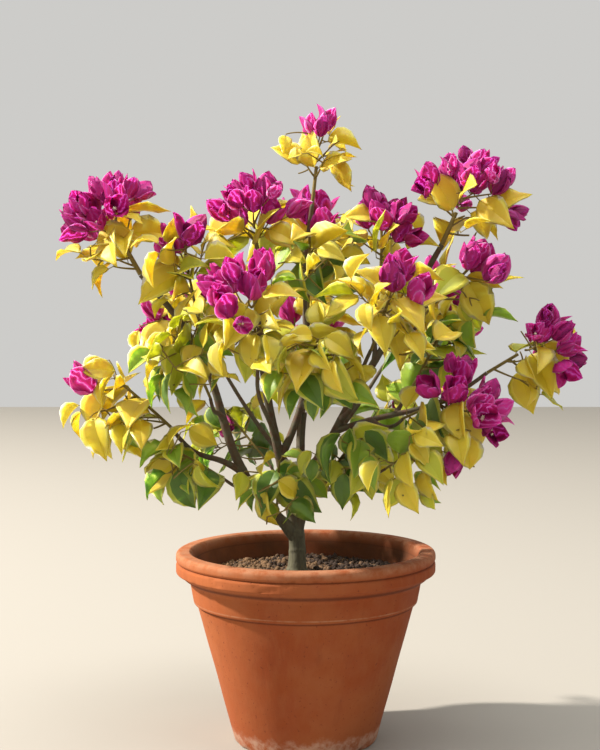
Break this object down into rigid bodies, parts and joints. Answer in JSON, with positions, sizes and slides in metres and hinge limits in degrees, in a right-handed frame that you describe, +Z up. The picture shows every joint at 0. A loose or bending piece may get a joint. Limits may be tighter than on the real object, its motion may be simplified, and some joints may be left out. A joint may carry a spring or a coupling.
{
  "type": "bougainvillea bush in a terracotta pot",
  "caption": "Bushy flowering shrub with yellow-green leaves and magenta bracts, growing in a round tapered clay pot with a rolled rim.",
  "frame": {"origin": "middle of the pot's flat underside, on the surface that the pot stands on", "axes": "+Z up, +X to the bush's right as seen from its front, +Y to its back"},
  "size_m": [0.5998, 0.4554, 0.7416],
  "materials": {
    "terracotta": "matte",
    "soil": "matte",
    "bark": "matte",
    "young_bark": "matte",
    "foliage": "satin",
    "bracts": "matte"
  },
  "bodies": {
    "root": {"pot": "terracotta", "soil": "soil", "trunk": "bark", "bough_upper_left": "young_bark", "bough_upper_mid_left": "young_bark", "bough_upper_far_right": "young_bark", "bough_back_centre": "young_bark", "bough_leader": "young_bark", "bough_left_low": "young_bark", "bough_lower_left": "young_bark", "bough_mid_left": "young_bark", "bough_upper_left_inner": "young_bark", "bough_mid_front": "young_bark", "bough_centre_top": "young_bark", "bough_centre_front": "young_bark", "bough_upper_right": "young_bark", "bough_right_mid": "young_bark", "bough_front_right": "young_bark", "bough_far_right": "young_bark", "bough_right_centre": "young_bark", "bough_lower_right": "young_bark", "bough_low_right": "young_bark", "bough_low_front_right": "young_bark", "bough_low_front": "young_bark", "bough_back_left": "young_bark", "bough_back_right": "young_bark", "bough_back_top": "young_bark", "bough_back_low_left": "young_bark", "bough_back_low_right": "young_bark", "pruned_stub_1": "bark", "pruned_stub_2": "bark", "foliage_upper_left": "foliage", "foliage_upper_mid_left": "foliage", "foliage_upper_far_right": "foliage", "foliage_back_centre": "foliage", "foliage_leader": "foliage", "foliage_left_low": "foliage", "foliage_lower_left": "foliage", "foliage_mid_left": "foliage", "foliage_upper_left_inner": "foliage", "foliage_mid_front": "foliage", "foliage_centre_top": "foliage", "foliage_centre_front": "foliage", "foliage_upper_right": "foliage", "foliage_right_mid": "foliage", "foliage_front_right": "foliage", "foliage_far_right": "foliage", "foliage_right_centre": "foliage", "foliage_lower_right": "foliage", "foliage_low_right": "foliage", "foliage_low_front_right": "foliage", "foliage_low_front": "foliage", "foliage_back_left": "foliage", "foliage_back_right": "foliage", "foliage_back_top": "foliage", "foliage_back_low_left": "foliage", "foliage_back_low_right": "foliage"}
  },
  "joints": []
}
